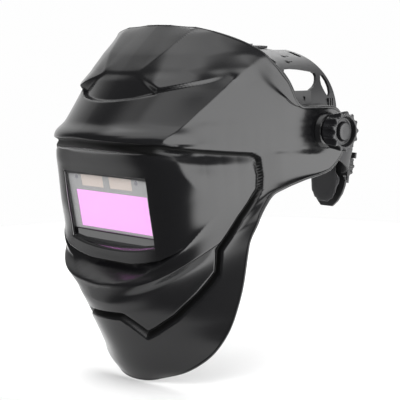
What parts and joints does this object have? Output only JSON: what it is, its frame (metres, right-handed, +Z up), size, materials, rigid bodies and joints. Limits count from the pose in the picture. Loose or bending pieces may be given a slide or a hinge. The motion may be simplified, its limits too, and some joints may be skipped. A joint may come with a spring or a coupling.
{
  "type": "welding helmet",
  "caption": "Tilting full-face welding mask with an auto-darkening filter window, on a ratchet headband with crown straps and side tightening knobs.",
  "frame": {"origin": "middle of the tilt axis, between the two side knobs, in the centre of the headband", "axes": "+Z up, the mask faces -Y, the wearer's left is +X, and the tilt axis lies along X"},
  "size_m": [0.255, 0.346, 0.307],
  "materials": {
    "shell_plastic": "satin black moulding",
    "matte_black": "fine spark texture",
    "strap_plastic": "soft satin black",
    "knob_black": "satin",
    "dial_black": "satin",
    "cartridge_grey": "fine matte light grey",
    "cartridge_black": "matte",
    "clear_lens": "clear polycarbonate",
    "filter_pink": "pink interference coating",
    "lcd_glass": "laminated liquid crystal glass",
    "solar_film": "amorphous film under glass",
    "sensor_window": "dark window",
    "board_green": "solder mask",
    "cell_steel": "plain",
    "screw_steel": "zinc plated",
    "bolt_steel": "zinc plated",
    "wire_steel": "drawn wire",
    "washer_nylon": "natural nylon",
    "sweatband": "perforated foam-backed knit",
    "nape_foam": "knit over foam"
  },
  "bodies": {
    "headgear": {"head_frame": "strap_plastic", "crown_strap_left": "strap_plastic", "crown_strap_right": "strap_plastic", "strap_pegs": "matte_black", "pivot_bolts": "bolt_steel", "stop_plates": "matte_black", "friction_washers": "washer_nylon", "thrust_washers": "bolt_steel", "brow_pad": "sweatband", "nape_pad": "nape_foam", "ratchet_base": "matte_black", "ratchet_cover": "matte_black", "ratchet_screws": "screw_steel"},
    "mask": {"shell": "shell_plastic", "lens_holder": "matte_black", "holder_screws": "screw_steel", "cover_lens": "clear_lens", "filter_front": "cartridge_grey", "filter_rear": "cartridge_black", "filter_glass": "filter_pink", "lcd_panel": "lcd_glass", "solar_cell_right": "solar_film", "solar_cell_left": "solar_film", "arc_sensors": "sensor_window", "circuit_board": "board_green", "coin_cells": "cell_steel", "inner_lens": "clear_lens"},
    "knob_left": {"tilt_knob_left": "knob_black"},
    "knob_right": {"tilt_knob_right": "knob_black"},
    "shade": {"shade_dial": "dial_black"},
    "sensitivity": {"sensitivity_dial": "dial_black"},
    "delay": {"delay_dial": "dial_black"},
    "bail": {"retaining_bail": "wire_steel"},
    "rack_left": {"rack_left": "strap_plastic"},
    "rack_right": {"rack_right": "strap_plastic"},
    "adjuster": {"ratchet_pinion": "matte_black", "ratchet_knob": "knob_black"}
  },
  "joints": [
    {"name": "mask_tilt", "type": "hinge", "parent": "headgear", "child": "mask", "pos_m": [0, 0, 0], "axis": [-1, 0, 0], "range_deg": [0, 75]},
    {"name": "knob_left_turn", "type": "hinge", "parent": "headgear", "child": "knob_left", "pos_m": [0.12, 0, 0], "axis": [1, 0, 0], "range_deg": [-30, 330]},
    {"name": "knob_right_turn", "type": "hinge", "parent": "headgear", "child": "knob_right", "pos_m": [-0.12, 0, 0], "axis": [-1, 0, 0], "range_deg": [-30, 330]},
    {"name": "shade_turn", "type": "hinge", "parent": "mask", "child": "shade", "pos_m": [-0.031, -0.13615, -0.0951], "axis": [0, 0.9816, 0.1908], "range_deg": [-135, 135]},
    {"name": "sensitivity_turn", "type": "hinge", "parent": "mask", "child": "sensitivity", "pos_m": [0, -0.13615, -0.0951], "axis": [0, 0.9816, 0.1908], "range_deg": [-135, 135]},
    {"name": "delay_turn", "type": "hinge", "parent": "mask", "child": "delay", "pos_m": [0.031, -0.13615, -0.0951], "axis": [0, 0.9816, 0.1908], "range_deg": [-135, 135]},
    {"name": "bail_swing", "type": "hinge", "parent": "mask", "child": "bail", "pos_m": [0, -0.13344, -0.10171], "axis": [-1, 0, 0], "range_deg": [0, 100]},
    {"name": "ratchet_turn", "type": "hinge", "parent": "headgear", "child": "adjuster", "pos_m": [0, 0.13792, -0.04611], "axis": [0, 0.9903, -0.1392], "range_deg": [-60, 60]},
    {"name": "rack_left_slide", "type": "slide", "parent": "headgear", "child": "rack_left", "axis": [1, 0, 0], "range_m": [-0.0068, 0.0068]},
    {"name": "rack_right_slide", "type": "slide", "parent": "headgear", "child": "rack_right", "axis": [-1, 0, 0], "range_m": [-0.0068, 0.0068]}
  ],
  "couplings": [
    {"joint": "rack_left_slide", "follows": "ratchet_turn", "m_per_rad": 0.00625},
    {"joint": "rack_right_slide", "follows": "ratchet_turn", "m_per_rad": 0.00625}
  ]
}
